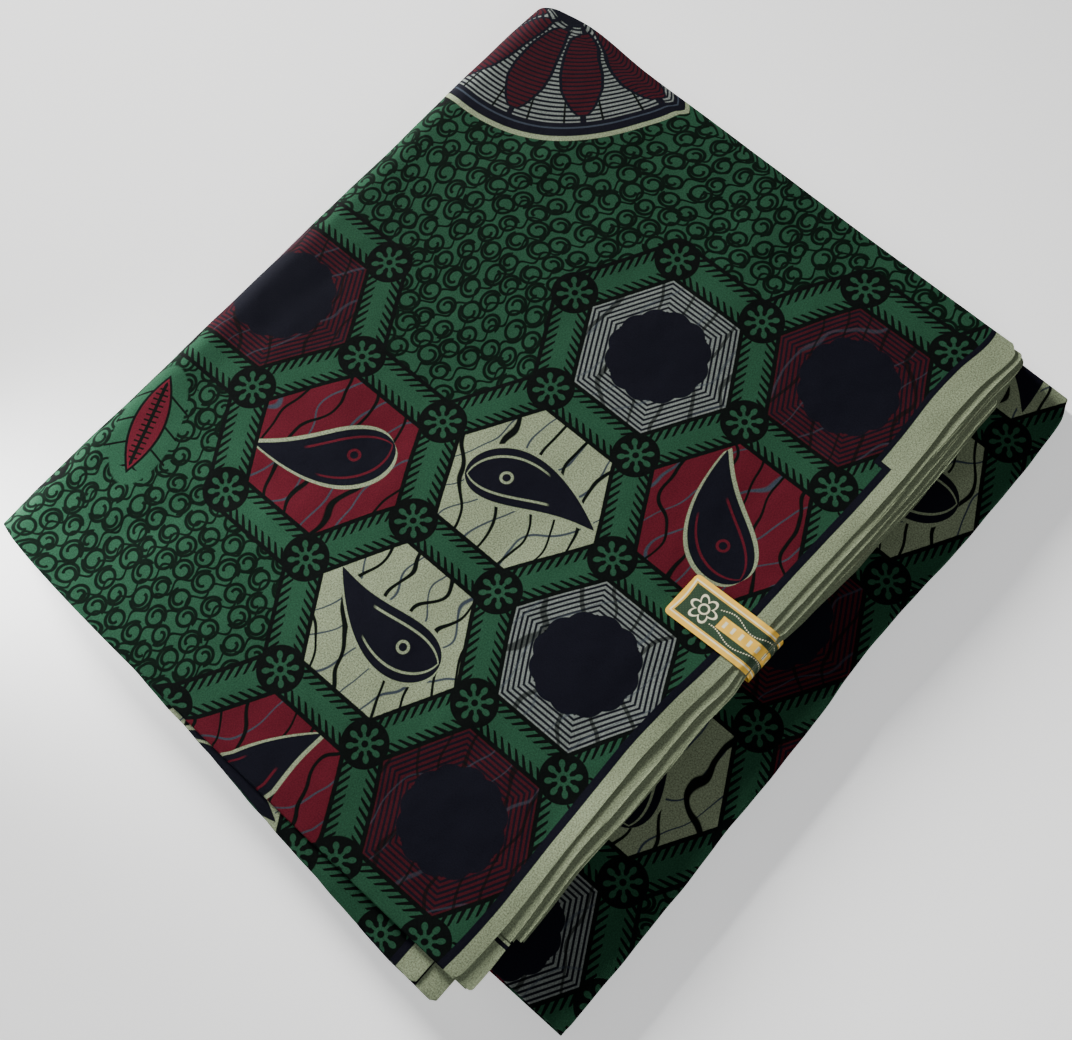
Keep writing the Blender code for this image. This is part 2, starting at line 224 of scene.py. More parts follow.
def top_height(x, y):
    """Height of the pack's upper surface."""
    height = mix(SPINE_HEIGHT, EDGE_HEIGHT, ramp(*SLOPE, x))
    near = read_table(UPPER_PLAN, "x", "near", x)
    far = read_table(UPPER_PLAN, "x", "far", x)
    from_end = np.minimum(y - near, far - y)
    height = height - END_DROP * (1.0 - ramp(*END_RISE, from_end))
    height = height - EDGE_DROOP * np.maximum(x - DROOP_START, 0.0) ** 2
    height = height + read_table(STRIP, "y", "rise", y) * ramp(*STRIP_RISE, x)
    pull = np.exp(-((y - LABEL_MIDDLE) / PINCH_LENGTH) ** 2)
    return height - PINCH_DEPTH * pull * ramp(*PINCH_RISE, x)


def middle_height(x):
    """Height of the plane between the two halves, which falls away to the outer fold."""
    return MIDDLE_HEIGHT - LOWER_FALL * ramp(*LOWER_SLOPE, x)


def creases(rows, x, y):
    """Sum of the soft troughs and ridges at a place."""
    total = np.zeros_like(x, dtype=float)
    for row in rows:
        turn = math.radians(row.turn)
        along = (x - row.x) * math.cos(turn) + (y - row.y) * math.sin(turn)
        across = (y - row.y) * math.cos(turn) - (x - row.x) * math.sin(turn)
        bow = across + CREASE_BOW * along * along / row.length
        total += row.depth * np.exp(-(bow / row.width) ** 2 - (along / row.length) ** 4)
    return total


def wander(place, seed, size=1.0):
    """Slow uneven wave along an edge, about -size to size, the same each run."""
    first = np.sin(place * 0.043 + seed * 1.7)
    second = np.sin(place * 0.101 + seed * 3.1)
    third = np.sin(place * 0.23 + seed * 5.3)
    return size * (0.5 * first + 0.33 * second + 0.17 * third)


def plan_end(column, x, under):
    """Near or far end of the pack at x, from the upper half's at under 0 to the lower's at 1."""
    upper = read_table(UPPER_PLAN, "x", column, x)
    lower = read_table(LOWER_PLAN, "x", column, x)
    return mix(upper, lower, under)


def spine_start(y):
    """X where the spine's half round begins."""
    return edge_at("spine", y) + SPINE_DEPTH


def floor_end(y):
    """X where the underside ends, just inside the outer fold."""
    return edge_at("outer", y) - FLOOR_INSET


def side_share(x):
    """0 over most of the pack, and 1 where the selvedge plies lie below the top panel."""
    return ramp(*SIDE_TUCK, x)


def ply_depth(x, y):
    """How many plies lie between the top panel and the hidden layers at a place."""
    at_end = ramp(*FAN_END, y) * ramp(*FAN_SIDE, x)
    return mix(3.0 * side_share(x), 2.0 + side_share(x), at_end)


def row_of(*values):
    """Points out of their coordinates, each of them an array or one number."""
    return np.stack(np.broadcast_arrays(*values), axis=-1)


def cloth_places(across, points, shift=0.0):
    """Cloth coordinates of a grid of points: across the loom, and along the cut by their y."""
    return np.stack([across, points[:, :, 1] + shift], axis=-1)


def unit(vectors):
    """Vectors of length one."""
    return vectors / np.maximum(np.linalg.norm(vectors, axis=-1, keepdims=True), 1e-9)


def grid_normals(points):
    """Normals of a grid of points."""
    along = np.gradient(points, axis=0)
    across = np.gradient(points, axis=1)
    return unit(np.cross(along, across))


def travelled(points):
    """Distance along the first axis of a grid of points."""
    steps = np.linalg.norm(np.diff(points, axis=0), axis=-1)
    return np.concatenate([np.zeros((1, points.shape[1])), np.cumsum(steps, axis=0)])


def from_edge(points):
    """Distance to the last point along the first axis of a grid of points."""
    return travelled(points[::-1])[::-1]


def add_object(name, data):
    """New object in the scene."""
    item = bpy.data.objects.new(name, data)
    bpy.context.scene.collection.objects.link(item)
    return item


def add_mesh(name, vertices, faces, coordinates, material, sharp=40.0):
    """Mesh object in the frame from points in pack millimetres, with its cloth coordinates."""
    data = bpy.data.meshes.new(name)
    moved = (vertices - np.array(ORIGIN)) * MM
    data.from_pydata(moved.tolist(), [], faces.tolist())
    layer = data.uv_layers.new(name="cloth")
    index = np.empty(len(data.loops), dtype=np.int32)
    data.loops.foreach_get("vertex_index", index)
    layer.data.foreach_set("uv", coordinates[index].astype(np.float32).ravel())
    data.materials.append(material)
    data.validate()
    item = add_object(name, data)
    data.shade_smooth()
    data.set_sharp_from_angle(angle=math.radians(sharp))
    return item


def grid_faces(columns, rows, first=0, reverse=False):
    """Quads of a grid of columns by rows points, whose first point has an index."""
    index = first + np.arange(columns * rows).reshape(columns, rows)
    faces = np.stack([index[:-1, :-1], index[1:, :-1], index[1:, 1:], index[:-1, 1:]], axis=-1)
    faces = faces.reshape(-1, 4)
    return faces[:, ::-1] if reverse else faces


def shell(points, coordinates, thickness):
    """Vertices, faces and cloth coordinates of a grid thickened against its normals."""
    columns, rows = points.shape[:2]
    inner = points - grid_normals(points) * thickness
    vertices = np.concatenate([points.reshape(-1, 3), inner.reshape(-1, 3)])
    count = columns * rows
    index = np.arange(count).reshape(columns, rows)
    loop = np.concatenate([index[:, 0], index[-1, 1:], index[-2::-1, -1], index[0, -2:0:-1]])
    after = np.roll(loop, -1)
    rim = np.stack([after, loop, loop + count, after + count], axis=-1)
    faces = np.concatenate([
        grid_faces(columns, rows),
        grid_faces(columns, rows, count, reverse=True),
        rim,
    ])
    flat = coordinates.reshape(-1, 2)
    return vertices, faces, np.concatenate([flat, flat])


def join(parts):
    """One set of vertices, faces and coordinates out of several."""
    vertices, faces, coordinates = [], [], []
    first = 0
    for part in parts:
        vertices.append(part[0])
        faces.append(part[1] + first)
        coordinates.append(part[2])
        first += len(part[0])
    return np.concatenate(vertices), np.concatenate(faces), np.concatenate(coordinates)


def turn_under(points, coordinates, radius, reach, far=True):
    """Rounded folds at the near and far rows of a grid, which turn the cloth inwards."""
    turns = np.radians(np.arange(30.0, 181.0, 30.0))
    backs = np.array([0.5, 1.0]) * reach
    out = np.append(radius * np.sin(turns), -backs)[:, None]
    down = np.append(radius * (1.0 - np.cos(turns)), (2.0 * radius, 2.0 * radius))[:, None]
    along = np.append(radius * turns, math.pi * radius + backs)
    normals = grid_normals(points)
    folds = []
    for edge, second, sign in ((0, 1, -1.0), (-1, -2, 1.0)):
        outwards = unit(points[:, edge] - points[:, second])[:, None]
        fold = points[:, edge, None] + outwards * out - normals[:, edge, None] * down
        place = coordinates[:, edge, None] + np.outer(along, (0.0, sign))
        folds.append((fold, place))
    near = tuple(block[:, ::-1] for block in folds[0])
    blocks = [near, (points, coordinates)] + (folds[1:] if far else [])
    return tuple(np.concatenate(block, axis=1) for block in zip(*blocks))


def spread(count, ends=0.35):
    """Shares from 0 to 1, closer together near both ends."""
    even = np.linspace(0.0, 1.0, count)
    return mix(even, 0.5 - 0.5 * np.cos(math.pi * even), ends)


# Folds at the pack's ends, cloth places of its free edges, and the grid of the outer sheet
FOLD = 0.6
RETURN = 5.0
EDGE_CURL = 0.22
EDGE_PLACE = 275.4
FAN_PLACE = 279.5
ROW_SHARES = spread(142)
TOP_COLUMNS = 108
FLOOR_COLUMNS = 34
SPINE_TURN = 9.0
FAR_CORNER = (337.5, 344.4)
NEAR_CORNER = (-10.0, -15.0)


def settle(x_at, under):
    """X and y of a grid of points along the pack, where each depends on the other."""
    y = mix(0.0, FIRST_LENGTH, ROW_SHARES)
    for _ in range(3):
        x = x_at(y)
        near = plan_end("near", x, under) + FOLD
        far = plan_end("far", x, under) - FOLD
        y = mix(near, far, ROW_SHARES)
    return x_at(y), y


def corner_cut(y):
    """How far a rounded corner is drawn in from the straight selvedge."""
    return 3.0 * ramp(*FAR_CORNER, y) ** 2.5 + 1.3 * ramp(*NEAR_CORNER, y) ** 2


def top_edge(y):
    """X of the top panel's selvedge, with its two corners rounded."""
    return edge_at("top", y) - corner_cut(y)


def build_outer(cloth):
    """Top panel, spine and underside: one shell that turns round the pack."""
    value = spread(TOP_COLUMNS, 0.2)[::-1, None]
    x, y = settle(lambda y: mix(spine_start(y), top_edge(y), value), 0.0)
    x = x + wander(y * 1.1, 2.0, 0.2) * ramp(0.97, 1.0, value)
    from_end = np.minimum(y - plan_end("near", x, 0.0), plan_end("far", x, 0.0) - y)
    z = top_height(x, y) + creases(TOP_CREASES, x, y) * mix(0.35, 1.0, ramp(0.0, 14.0, from_end))
    z = z + 0.10 * wander(x * 1.7 + y * 0.6, 4.0) + 0.08 * wander(y * 1.3 - x, 7.0)
    curl = np.maximum(value * 32.0 - 31.0, 0.0) ** 2
    top = row_of(x, y, z + EDGE_CURL * curl * (1.0 + wander(y * 0.8, 6.0)))
    turn = np.arange(SPINE_TURN, 180.0, SPINE_TURN)[:, None]
    out = np.sin(np.radians(turn))
    y = settle(lambda y: spine_start(y) - SPINE_DEPTH * out, turn / 180.0)[1]
    half = top_height(spine_start(y), y) / 2.0
    x = spine_start(y) - SPINE_DEPTH * out + 0.5 * out * wander(y * 0.8 + turn * 0.7, 9.0)
    spine = row_of(x, y, half + half * np.cos(np.radians(turn)))
    value = np.linspace(0.0, 1.0, FLOOR_COLUMNS)[:, None]
    floor = row_of(*settle(lambda y: mix(spine_start(y), floor_end(y), value), 1.0), 0.0)
    points = np.concatenate([top, spine, floor])[::-1]
    across = EDGE_PLACE - corner_cut(points[:, :, 1]) - from_edge(points)
    grid = turn_under(points, cloth_places(across, points), FOLD, RETURN)
    return add_mesh("outer_cloth", *shell(*grid, TOP_SHEET), cloth)


# Top layer of the lower half: shift of its print, its height, and its folds at ends and outer edge
INNER_SHIFT = (-328.0, -406.0)
INNER_LIFT = 0.45
INNER_START = 0.6
INNER_FOLD = 0.5
INNER_TUCK = 4.0
INNER_RADIUS = 1.0
INNER_RETURN = 14.0


def build_inner(cloth):
    """Top layer of the lower half, which turns down and back at the outer fold."""
    near = plan_end("near", OUTER_X, 1.0) + FOLD
    far = plan_end("far", OUTER_X, 1.0) - FOLD
    y = mix(near, far, ROW_SHARES)
    corner = 7.0 * ramp(far - 13.0, far, y) ** 2 + 2.5 * ramp(near + 7.0, near, y) ** 2
    bend = edge_at("outer", y) - INNER_RADIUS - 0.15 + wander(y * 1.4, 3.0, 0.4) - 0.25 * corner
    value = np.concatenate([np.linspace(0.0, 0.7, 12), np.linspace(0.72, 1.0, 34)])[:, None]
    x = mix(spine_start(y) - SLOT_NOSE + INNER_START, bend, value)
    shown = ramp(*LOWER_SHOWN, x)
    z = middle_height(x) + INNER_LIFT + creases(LOWER_CREASES, x, y) * shown * ramp(1.0, 0.94, value)
    flat = row_of(x, y, z + 0.09 * wander(y * 1.9 + x, 5.0) * shown)
    level = middle_height(bend) + INNER_LIFT - INNER_RADIUS
    turn = np.radians(np.arange(15.0, 181.0, 15.0))[:, None]
    fold = row_of(bend + INNER_RADIUS * np.sin(turn), y, level + INNER_RADIUS * np.cos(turn))
    value = np.array([0.3, 0.65, 1.0])[:, None]
    below = row_of(bend - INNER_RETURN * value, y, level - INNER_RADIUS + 0.1 * value)
    points = np.concatenate([flat, fold, below])
    places = cloth_places(travelled(points) + INNER_SHIFT[0], points, INNER_SHIFT[1])
    grid = turn_under(points, places, INNER_FOLD, INNER_TUCK)
    return add_mesh("inner_cloth", *shell(*grid, SHEET), cloth)


# Selvedge stretches beyond the top one: insets of their thin sheets in millimetres
PLIES = table(
    "name edge level start end insets",
    ("second", "second", 1, 10.0, 342.4, (0.4, 0.0, 0.6)),
    ("third", "third", 2, 12.6, 341.4, (0.7, 0.0, 0.5)),
    ("fourth", "fourth", 3, 24.0, 318.4, (1.6, 0.8, 0.0)),
    ("corner", "second", 1, -14.2, 9.4, (0.0, 0.7, 0.4)),
)
PLY_STEP = 2.6
PLY_CORNER = (2.2, 1.6)
PLY_CURL = 4.5
THIN = 0.09
THIN_PITCH = 0.40
LOOSE_TOP = 0.06
LOOSE_PITCH = 0.33
LOOSE_THIN = 0.10
LOOSE = (268.0, 276.0)
ROUND_STEPS = np.array([0.25, 0.6, 1.1, 1.8])

# Navy mark across the corner stretch: where it starts and ends, and its place on the cloth
MARK_START = 6.4
MARK_END = 8.2
MARK_STEP = 0.1
MARK_PLACE = 267.3


def ply_edge(name, y):
    """X of the loose edge of a ply, drawn in where the label pinches it."""
    return edge_at(name, y) - 0.9 * ramp(18.0, 9.0, np.abs(y - LABEL_MIDDLE + 2.0))


def build_ply(ply, cloth):
    """Selvedges of a few layers that lie together, with edges a little apart."""
    parts = []
    count = max(6, round((ply.end - ply.start) / PLY_STEP))
    at_corner = ply.name == "corner"
    for n, inset in enumerate(ply.insets):
        seed = ply.level * 3.0 + n
        start = ply.start + 0.8 * n
        stop = ply.end - 0.5 * n
        steps = [np.linspace(start, stop, count), start + ROUND_STEPS, stop - ROUND_STEPS]
        if at_corner:
            steps += [(mark, mark + MARK_STEP) for mark in (MARK_START, MARK_END)]
        y = np.unique(np.concatenate(steps))
        corner = np.clip(1.0 - (y - start if at_corner else stop - y) / PLY_CORNER[0], 0.0, 1.0)
        edge = ply_edge(ply.edge, y) - inset + wander(y * 1.1, seed, 0.32)
        edge = edge - PLY_CORNER[1] * (1.0 - np.sqrt(1.0 - corner ** 2))
        deep = PITCH * ply.level + THIN_PITCH * n
        loose = LOOSE_TOP + LOOSE_PITCH * ply.level + LOOSE_THIN * n
        tall = 0.26 + 0.14 * wander(y * 0.9, seed + 2.0) + 0.15 * ramp(55.0, 0.0, np.abs(y - 55.0))
        tall = tall + 0.10 * ramp(180.0, 215.0, y)
        x = mix(TUCK_START, edge, np.linspace(0.0, 1.0, 22)[:, None] ** 0.5)
        curl = np.clip(1.0 - (edge - x) / PLY_CURL, 0.0, 1.0) ** 2
        points = row_of(x, y, top_height(x, y) - mix(deep, loose, ramp(*LOOSE, x)) + curl * tall)
        across = EDGE_PLACE + 1.5 * ply.level - from_edge(points)
        if at_corner:
            beyond = points[:, :, 1] - MARK_STEP / 2.0
            across = np.where((beyond > MARK_START) & (beyond < MARK_END), MARK_PLACE, across)
        parts.append(shell(points, cloth_places(across, points, 37.0 * seed - 420.0), THIN))
    return add_mesh(ply.name + "_cloth", *join(parts), cloth)


# Fold layers that fan out at the near end: level below the top, x of their ends, print's shift
FAN_PLIES = table(
    "name level end shift",
    ("fan_upper", 1, 266.2, 177.0),
    ("fan_lower", 2, 277.0, 133.0),
)
FAN_COLUMNS = 96
FAN_ROWS = 15
FAN_SHEET = 0.36
FAN_FOLD = 0.42
FAN_RETURN = 4.0


def build_fan(ply, cloth):
    """Fold layer that reaches out beyond the top panel at the near end."""
    x = mix(FAN_START, ply.end, np.linspace(0.0, 1.0, FAN_COLUMNS))[:, None]
    near = read_table(FAN_EDGE, "x", "near", x) + 0.45
    near = near + (0.45 + 0.45 * wander(x * 1.6, ply.level + 5.0)) * ramp(70.0, 100.0, x)
    near = near + 1.5 * np.maximum(1.0 - (ply.end - x) / 2.5, 0.0) ** 2
    y = mix(near, FAN_TUCK_END, np.linspace(0.0, 1.0, FAN_ROWS))
    z = top_height(x, y) - PITCH * (0.6 + 0.4 * ply.level + side_share(x))
    points = row_of(x, y, z + 0.12 * wander(x * 1.5 + y, ply.level + 2.0))
    places = cloth_places(FAN_PLACE - from_edge(points), points, ply.shift)
    grid = turn_under(points, places, FAN_FOLD, FAN_RETURN, far=False)
    return add_mesh(ply.name + "_cloth", *shell(*grid, FAN_SHEET), cloth)


# Fold edges of the hidden layers: how far each is drawn in, and the shift of its print
LAYERS = table(
    "near far outer shift",
    (0.3, 0.8, 0.9, 60.0),
    (1.5, 0.1, 0.0, 143.0),
    (0.0, 1.4, 1.5, -40.0),
    (0.9, 0.4, 0.5, 95.0),
    (1.7, 1.0, 1.9, 212.0),
    (0.5, 1.8, 0.8, 20.0),
    (1.2, 0.2, 0.3, 170.0),
)

# Room above and below the layers, insets of their edges, and the edges' rounding
TOP_ROOM = 0.25
SLOT_ROOM = 0.95
SLOT_FLOOR = 0.35
OUTER_ROOM = 1.1
FLOOR_LAYER = 0.75
END_INSET = 1.3
OUTER_INSET = 1.5
LIP_CORNER = 3.0
LIP_HALF = 0.47
SPINE_HALF = 0.5

# Both ends of the pack: which way is inwards, the y of the spine there, where the edges begin, seed
ENDS = table(
    "name inward spine_y first_x seed",
    ("near", 1.0, 0.0, 282.0, 1.0),
    ("far", -1.0, 346.0, 279.0, 11.0),
)

# Section of a fold edge: how far back each point is and its share of the half height
LIP_BACK = ((9.0, 0.88), (4.0, 0.98), (1.0, 1.0))
LIP_ROUND = tuple((1.0 - math.cos(turn), math.sin(turn)) for turn in np.radians(np.arange(60, -61, -30)))
LIP_SECTION = (*LIP_BACK, *LIP_ROUND, *((back, -side) for back, side in reversed(LIP_BACK)))


def layer_height(x, y, share, upper):
    """Middle height of a hidden layer at a share from the outside in, and the layers' spacing."""
    if upper:
        outside = top_height(x, y) - PITCH * (1.0 + ply_depth(x, y)) + TOP_ROOM
        inside = middle_height(x) + SLOT_ROOM
    else:
        edge = edge_at("outer", y)
        outside = FLOOR_LAYER
        inside = middle_height(x) - SLOT_FLOOR - OUTER_ROOM * ramp(edge - 27.0, edge - 18.0, x)
    return mix(outside, inside, share), (inside - outside) / len(LAYERS)


def lip_stretch(x, y, share, inner, upper):
    """Places, normals, inward directions, half heights and cloth places along a layer's edge."""
    z, pitch = layer_height(x, y, share, upper)
    up = 1.0 if upper else -1.0
    return row_of(x, y, z, 0.0, 0.0, up, *inner, 0.0, LIP_HALF * np.abs(pitch), up * x, y)


def lip_end(index, end):
    """Edge of a hidden layer at one end, from the selvedges to the outer fold, and its y there."""
    share = (index + 0.5) / len(LAYERS)
    inset = end.inward * (END_INSET + getattr(LAYERS[index], end.name))
    start = spine_start(end.spine_y)
    last_y = plan_end(end.name, OUTER_X, 1.0) + inset
    bend = edge_at("outer", last_y) - (OUTER_INSET + LAYERS[index].outer) - LIP_CORNER
    sides = []
    for upper, x in ((True, np.linspace(end.first_x, start, 80)), (False, np.linspace(start, bend, 70))):
        y = plan_end(end.name, x, 0.0 if upper else 1.0) + inset + 0.5 * wander(x, index + end.seed)
        sides.append(lip_stretch(x, y, share, (0.0, end.inward), upper))
    turn = np.arange(12.0, 179.0, 12.0)
    out = np.sin(np.radians(turn))
    up = np.cos(np.radians(turn))
    deep = SPINE_DEPTH - (PITCH + share * (SPINE_DEPTH - PITCH - SLOT_NOSE))
    y = plan_end(end.name, start - deep * out, turn / 180.0) + inset
    top = layer_height(start, y, share, True)[0]
    bottom = layer_height(start, y, share, False)[0]
    z = (top + bottom) / 2.0 + (top - bottom) / 2.0 * up
    spine = row_of(start - deep * out, y, z, -out, 0.0, up, 0.0, end.inward, 0.0, SPINE_HALF,
                   -turn * 0.2, y)
    turn = np.radians(np.arange(15.0, 90.0, 15.0))
    x = bend + LIP_CORNER * np.sin(turn)
    y = last_y + end.inward * LIP_CORNER * (1.0 - np.cos(turn))
    corner = lip_stretch(x, y, share, (-np.sin(turn), end.inward * np.cos(turn)), False)
    return np.concatenate([sides[0], spine, sides[1], corner]), last_y


def build_lips(cloth):
    """Fold edges of the hidden layers, one rounded edge for each layer all round the pack."""
    parts = []
    for index, layer in enumerate(LAYERS):
        (near, near_y), (far, far_y) = (lip_end(index, end) for end in ENDS)
        y = np.linspace(near_y + LIP_CORNER, far_y - LIP_CORNER, 130)
        x = edge_at("outer", y) - (OUTER_INSET + layer.outer) + 0.5 * wander(y, index + 5.0)
        outer = lip_stretch(x, y, (index + 0.5) / len(LAYERS), (-1.0, 0.0), False)
        path = np.concatenate([near, outer, far[::-1]])
        place, normal, inner, half, across = np.split(path, (3, 6, 9, 10), axis=1)
        points = []
        places = []
        for back, side in LIP_SECTION:
            depth = back * half if back <= 1.0 else back
            points.append(place + inner * depth + normal * (side * half))
            places.append(across + (0.0, layer.shift + side * 1.2))
        points = np.stack(points, axis=1)
        faces = grid_faces(*points.shape[:2])
        parts.append((points.reshape(-1, 3), faces, np.stack(places, axis=1).reshape(-1, 2)))
    return add_mesh("hidden_layers", *join(parts), cloth, 60.0)


# Stack of the hidden layers' selvedges: how far each is drawn in
SELVEDGE_INSETS = (0.9, 0.2, 1.6, 0.6, 2.1, 1.1, 0.4, 1.8, 0.8, 2.4)
SELVEDGE_START = 262.0
SELVEDGE_ENDS = (-12.0, 342.0)
SELVEDGE_SHEET = 0.26


def build_selvedges(cloth):
    """Selvedges of the hidden layers, seen as a stack of thin edges along the upper half."""
    parts = []
    for n, inset in enumerate(SELVEDGE_INSETS):
        y = np.linspace(SELVEDGE_ENDS[0] + 0.7 * (n % 3), SELVEDGE_ENDS[1] - 0.6 * (n % 4), 120)
        edge = ply_edge("fourth", y) - 0.4 - inset + wander(y * 1.8, n + 20.0, 0.5)
        x = mix(SELVEDGE_START, edge, np.array([0.0, 0.4, 0.7, 0.88, 0.96, 1.0])[:, None])
        level = 1.0 + ply_depth(x, y)
        drop = mix(PITCH * level, LOOSE_TOP + LOOSE_PITCH * level, ramp(*LOOSE, x)) + 0.1
        share = n / (len(SELVEDGE_INSETS) - 1.0)
        points = row_of(x, y, mix(top_height(x, y) - drop, middle_height(x) + SLOT_ROOM, share))
        places = cloth_places(EDGE_PLACE + 2.0 - from_edge(points), points, 31.0 * n - 900.0)
        parts.append(shell(points, places, SELVEDGE_SHEET))
    return add_mesh("hidden_selvedges", *join(parts), cloth)


# Label: its sheet, its height above the cloth and the middle plane, and its lower turn
LABEL_SHEET = 0.35
LABEL_LIFT = 0.7
LABEL_FLOOR = 0.8
LABEL_ROUND = 1.0


def build_label(paper):
    """Paper label that lies on the top panel, turns down over the plies and tucks under them."""
    bend = LABEL_REACH - LABEL_DEEP
    level = middle_height(LABEL_REACH) + LABEL_FLOOR + LABEL_ROUND
    rows = np.linspace(-1.0, 1.0, 23)
    y = LABEL_MIDDLE + LABEL_WIDTH / 2 * rows
    above = top_height(bend, y) + LABEL_LIFT
    path = []
    for value in (0.0, 0.008, 0.02, 0.04, 0.055, *np.linspace(0.1, 1.0, 16)):
        cut = max(LABEL_CORNER - value * (bend - LABEL_START), 0.0)
        half = LABEL_WIDTH / 2 - LABEL_CORNER + math.sqrt(LABEL_CORNER ** 2 - cut ** 2)
        flat_y = LABEL_MIDDLE + half * rows
        x = mix(LABEL_START, bend, value)
        z = top_height(x, flat_y) + 0.55 + 0.15 * ramp(0.9, 0.6, value) * np.cos(rows * 2.0)
        z = mix(z, top_height(x, flat_y) + LABEL_LIFT, ramp(0.7, 1.0, value))
        path.append((x, flat_y, z))
    for turn in np.radians(np.arange(7.5, 91.0, 7.5)):
        path.append((bend + LABEL_DEEP * math.sin(turn), y, above - LABEL_FALL * (1.0 - math.cos(turn))))
    for turn in np.radians((0.0, 22.5, 45.0, 67.5, 90.0)):
        path.append((LABEL_REACH - LABEL_ROUND * (1.0 - math.cos(turn)), y,
                     level - LABEL_ROUND * math.sin(turn)))
    for value in (0.1, 0.3, 0.6, 1.0):
        x = LABEL_REACH - LABEL_ROUND - LABEL_TUCK * value
        path.append((x, y, middle_height(x) + LABEL_FLOOR))
    straight = np.stack([row_of(*point) for point in path])
    points = straight + (straight[:, :, :1] - LABEL_START) * (0.0, LABEL_SLANT, 0.0)
    places = np.stack([travelled(points), straight[:, :, 1] - LABEL_MIDDLE], axis=-1)
    return add_mesh("label_paper", *shell(points, places, LABEL_SHEET), paper)


def node_sum(operation, swapped=False):
    """Method of Number for a math node, of the number alone or with others."""
    def method(self, *others):
        values = (*others, self) if swapped else (self, *others)
        return self.graph.math(operation, *values)
    return method


class Number:
    """Number in a node tree that takes part in Python's arithmetic."""

    def __init__(self, graph, socket):
        self.graph = graph
        self.socket = socket

    __add__ = node_sum("ADD")
    __radd__ = node_sum("ADD", swapped=True)
    __sub__ = node_sum("SUBTRACT")
    __rsub__ = node_sum("SUBTRACT", swapped=True)
    __mul__ = node_sum("MULTIPLY")
    __rmul__ = node_sum("MULTIPLY", swapped=True)
    __truediv__ = node_sum("DIVIDE")
    least = node_sum("MINIMUM")
    most = node_sum("MAXIMUM")
    under = node_sum("LESS_THAN")
    power = node_sum("POWER")
    root = node_sum("SQRT")
    size = node_sum("ABSOLUTE")
    sign = node_sum("SIGN")
    floor = node_sum("FLOOR")
    rounded = node_sum("ROUND")
    part = node_sum("FRACT")
    sine = node_sum("SINE")
    cosine = node_sum("COSINE")
    turn_from = node_sum("ARCTAN2")

    def __neg__(self):
        return self * -1.0

    def wrap(self, reach):
        """Number brought into the range from -reach to reach."""
        return self.graph.math("WRAP", self, reach, -reach)

    def off_middle(self):
        """How far the number's fraction is from one half."""
        return (self.part() - 0.5).size()

    def soft(self, low, high):
        """Share of the way from low to high, cut at 0 and 1."""
        return self.graph.number("ShaderNodeMapRange", {0: self, 1: low, 2: high, 3: 0.0, 4: 1.0})

    def below(self, limit, edge=0.12):
        """1 under a limit and 0 over it, with a soft edge."""
        return self.soft(limit + edge, limit - edge)

    def above(self, limit, edge=0.12):
        """1 over a limit and 0 under it, with a soft edge."""
        return self.soft(limit - edge, limit + edge)


class Graph:
    """Node tree that is written as formulas."""

    def __init__(self, tree):
        self.tree = tree

    def feed(self, socket, value):
        """Link a socket to a value, or set it."""
        if isinstance(value, Number):
            value = value.socket
        if isinstance(value, bpy.types.NodeSocket):
            self.tree.links.new(value, socket)
        else:
            socket.default_value = value

    def node(self, kind, inputs=None, **settings):
        """New node with its settings and inputs."""
        item = self.tree.nodes.new(kind)
        for key, value in settings.items():
            setattr(item, key, value)
        for key, value in (inputs or {}).items():
            self.feed(item.inputs[key], value)
        return item

    def number(self, kind, inputs, **settings):
        """Number out of a new node."""
        return Number(self, self.node(kind, inputs, **settings).outputs[0])

    def math(self, operation, *values):
        """Result of a sum."""
        return self.number("ShaderNodeMath", dict(enumerate(values)), operation=operation)

    def vector(self, x, y):
        """Vector out of two numbers."""
        return self.node("ShaderNodeCombineXYZ", {0: x, 1: y}).outputs[0]

    def vector_math(self, operation, *values):
        """Result of a sum of vectors."""
        item = self.node("ShaderNodeVectorMath", dict(enumerate(values)), operation=operation)
        return item.outputs["Value" if operation in ("DOT_PRODUCT", "LENGTH") else "Vector"]

    def length(self, vector):
        """Length of a vector."""
        return Number(self, self.vector_math("LENGTH", vector))

    def parts(self, vector):
        """X and y of a vector."""
        item = self.node("ShaderNodeSeparateXYZ", {0: vector})
        return [Number(self, socket) for socket in item.outputs[:2]]

    def channels(self, colour):
        """The three numbers of a colour."""
        item = self.node("ShaderNodeSeparateColor", {0: colour})
        return [Number(self, socket) for socket in item.outputs[:3]]

    def pick(self, share, first, second):
        """Number from first at 0 to second at 1."""
        return self.number("ShaderNodeMix", {0: share, 2: first, 3: second})

    def paint(self, share, first, second):
        """Colour from first at 0 to second at 1."""
        return self.node("ShaderNodeMix", {0: share, 6: first, 7: second}, data_type="RGBA").outputs[2]

    def noise(self, place, size, detail=1.0, roughness=0.5):
        """Smooth random number about 0.5 over features of a size."""
        inputs = {"Vector": place, "Scale": 1.0 / size, "Detail": detail, "Roughness": roughness}
        return self.number("ShaderNodeTexNoise", inputs, noise_dimensions="2D")


class Picture:
    """Colour that shapes are painted over, one by one."""

    def __init__(self, graph, colour):
        self.graph = graph
        self.colour = colour

    def add(self, share, colour):
        """Paint a shape over what is there."""
        self.colour = self.graph.paint(share, self.colour, colour)


GREEN = (0.0166, 0.0590, 0.0315, 1.0)
BLACK = (0.0026, 0.0038, 0.0034, 1.0)
INK = (0.0022, 0.0066, 0.0040, 1.0)
NAVY = (0.0052, 0.0055, 0.0098, 1.0)
SLATE = (0.032, 0.041, 0.056, 1.0)
SAGE = (0.205, 0.242, 0.150, 1.0)
HAZE = (0.150, 0.168, 0.155, 1.0)
CRIMSON = (0.081, 0.0074, 0.0142, 1.0)
DARK_RED = (0.043, 0.0058, 0.0095, 1.0)

